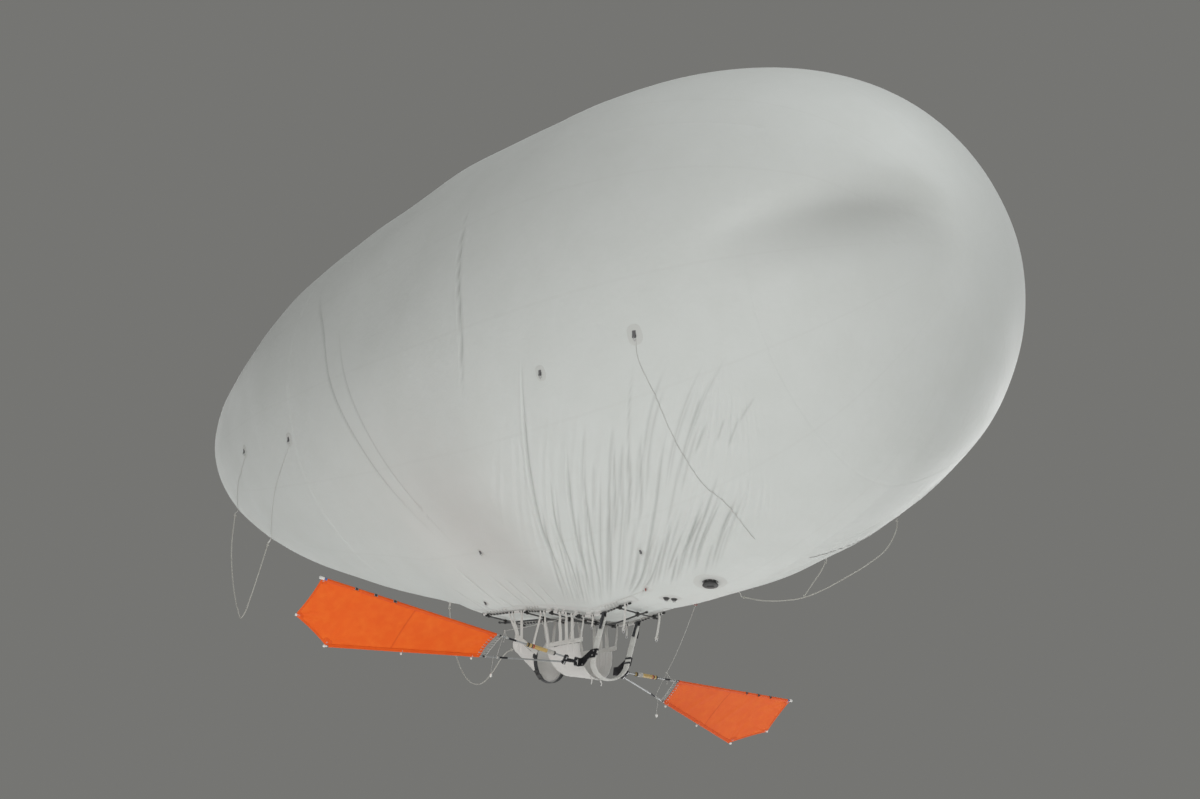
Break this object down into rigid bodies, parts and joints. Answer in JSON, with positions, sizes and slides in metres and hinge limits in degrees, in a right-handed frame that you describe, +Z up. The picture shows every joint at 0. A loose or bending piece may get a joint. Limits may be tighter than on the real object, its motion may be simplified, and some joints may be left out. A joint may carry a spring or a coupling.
{
  "type": "personal helium balloon",
  "caption": "Long helium envelope that lifts one prone rider in a cloth harness under its belly, rowed with two hand-held cloth wings that sweep, flap and feather.",
  "frame": {"origin": "centre of lift, on the envelope's long axis", "axes": "+X to the nose, +Y to the rider's left, +Z up"},
  "size_m": [9, 4.7124, 4.5528],
  "materials": {
    "film": "off-white coated film, satin, slightly translucent",
    "dark_ports": "matt black moulded plastic",
    "carbon_tube": "woven carbon tube, satin clear coat",
    "padding": "pale grey padded nylon",
    "sling_cloth": "white nylon cloth",
    "black_strap": "black nylon webbing",
    "webbing": "white nylon webbing",
    "rope": "white braided rope, weathered",
    "black_metal": "black anodised",
    "spar_tube": "thin grey tube, satin",
    "sail_cloth": "vivid orange ripstop cloth",
    "grip_wood": "pale yellow wood, varnished",
    "tip_cap": "white moulded cap"
  },
  "bodies": {
    "craft": {"envelope": "film", "filling_port": "dark_ports", "pressure_port_front": "dark_ports", "pressure_port_rear": "dark_ports", "keel_tube_left": "carbon_tube", "keel_tube_right": "carbon_tube", "keel_tube_centre": "carbon_tube", "keel_spreader_1": "carbon_tube", "keel_spreader_2": "carbon_tube", "keel_spreader_3": "carbon_tube", "keel_spreader_4": "carbon_tube", "keel_spreader_5": "carbon_tube", "shoulder_hoop": "padding", "torso_sling": "sling_cloth", "leg_sling": "sling_cloth", "hip_strap": "black_strap", "torso_straps_left": "webbing", "torso_straps_right": "webbing", "leg_straps_left": "webbing", "leg_straps_right": "webbing", "front_strap_left": "webbing", "front_strap_right": "webbing", "shoulder_bracket_left": "black_metal", "shoulder_bracket_right": "black_metal", "tail_rope": "rope", "nose_line": "rope", "nose_line_branch": "rope", "foot_line": "rope"},
    "swivel_left": {"wing_swivel_left": "black_metal"},
    "fork_left": {"wing_fork_left": "black_metal"},
    "wing_left": {"wing_knuckle_left": "black_metal", "lead_spar_left": "spar_tube", "trail_spar_left": "spar_tube", "sail_left": "sail_cloth", "grip_left": "grip_wood", "tip_cap_left": "tip_cap"},
    "swivel_right": {"wing_swivel_right": "black_metal"},
    "fork_right": {"wing_fork_right": "black_metal"},
    "wing_right": {"wing_knuckle_right": "black_metal", "lead_spar_right": "spar_tube", "trail_spar_right": "spar_tube", "sail_right": "sail_cloth", "grip_right": "grip_wood", "tip_cap_right": "tip_cap"}
  },
  "joints": [
    {"name": "left_wing_sweep", "type": "hinge", "parent": "craft", "child": "swivel_left", "pos_m": [0.46, 0.213, -2.526], "axis": [0, 0, -1], "range_deg": [-20, 42]},
    {"name": "left_wing_flap", "type": "hinge", "parent": "swivel_left", "child": "fork_left", "pos_m": [0.46, 0.213, -2.526], "axis": [0.9732, 0.23, 0], "range_deg": [-38, 28]},
    {"name": "left_wing_feather", "type": "hinge", "parent": "fork_left", "child": "wing_left", "pos_m": [0.46, 0.213, -2.526], "axis": [0.23, -0.9732, 0], "range_deg": [-60, 40]},
    {"name": "right_wing_sweep", "type": "hinge", "parent": "craft", "child": "swivel_right", "pos_m": [0.46, -0.213, -2.526], "axis": [0, 0, 1], "range_deg": [-20, 42]},
    {"name": "right_wing_flap", "type": "hinge", "parent": "swivel_right", "child": "fork_right", "pos_m": [0.46, -0.213, -2.526], "axis": [-0.9732, 0.23, 0], "range_deg": [-38, 28]},
    {"name": "right_wing_feather", "type": "hinge", "parent": "fork_right", "child": "wing_right", "pos_m": [0.46, -0.213, -2.526], "axis": [-0.23, -0.9732, 0], "range_deg": [-60, 40]}
  ]
}
